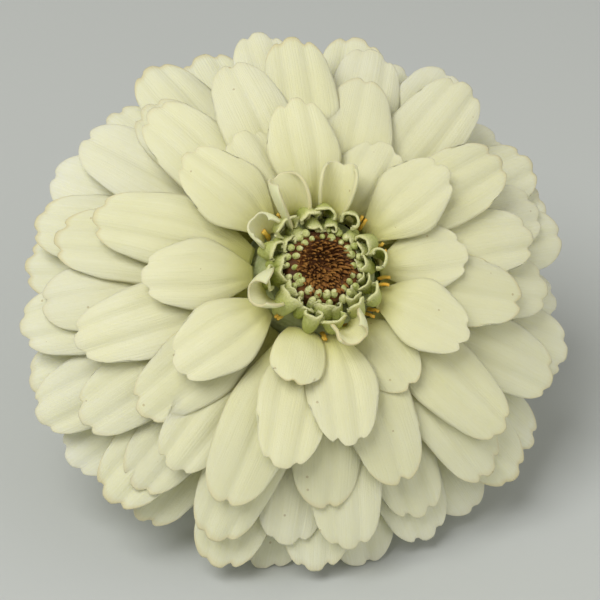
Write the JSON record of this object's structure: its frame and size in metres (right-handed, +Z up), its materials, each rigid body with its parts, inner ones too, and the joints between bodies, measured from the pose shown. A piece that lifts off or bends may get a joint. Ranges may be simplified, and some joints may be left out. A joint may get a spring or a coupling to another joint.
{
  "type": "zinnia flower",
  "caption": "Cream double zinnia bloom with a green-and-brown centre, bracts and a short curved cut stem, lying on its side on a surface.",
  "frame": {"origin": "middle of the bounding box, on the surface that the flower lies on", "axes": "+Z up from the surface; the bloom faces -Y and upwards, and the stem trails away along +Y"},
  "size_m": [0.0756, 0.1206, 0.0585],
  "materials": {
    "ray": "soft cream petal, yellower at the claw",
    "young": "pale green, cream along the margins",
    "disc": "matte red-brown with green buds",
    "receptacle": "matte pale green",
    "bract": "green with a dark margin",
    "stem": "ribbed green, softly hairy"
  },
  "bodies": {
    "root": {"bract_row_1": "bract", "bract_row_2": "bract", "bract_row_3": "bract", "disc_florets": "disc", "ray_a_01": "ray", "ray_a_02": "ray", "ray_a_03": "ray", "ray_a_04": "ray", "ray_a_05": "ray", "ray_a_06": "ray", "ray_a_07": "ray", "ray_a_08": "ray", "ray_b_01": "ray", "ray_b_02": "ray", "ray_b_03": "ray", "ray_b_04": "ray", "ray_b_05": "ray", "ray_b_06": "ray", "ray_b_07": "ray", "ray_b_08": "ray", "ray_c_01": "ray", "ray_c_02": "ray", "ray_c_03": "ray", "ray_c_04": "ray", "ray_c_05": "ray", "ray_c_06": "ray", "ray_c_07": "ray", "ray_c_08": "ray", "ray_d_01": "ray", "ray_d_02": "ray", "ray_d_03": "ray", "ray_d_04": "ray", "ray_d_05": "ray", "ray_d_06": "ray", "ray_d_07": "ray", "ray_d_08": "ray", "ray_e_01": "ray", "ray_e_02": "ray", "ray_e_03": "ray", "ray_e_04": "ray", "ray_e_05": "ray", "ray_e_06": "ray", "ray_e_07": "ray", "ray_e_08": "ray", "ray_e_09": "ray", "ray_e_10": "ray", "ray_e_11": "ray", "ray_e_12": "ray", "ray_f_01": "ray", "ray_f_02": "ray", "ray_f_03": "ray", "ray_f_04": "ray", "ray_f_05": "ray", "ray_f_06": "ray", "receptacle": "receptacle", "stem": "stem", "young_florets": "young"}
  },
  "joints": []
}
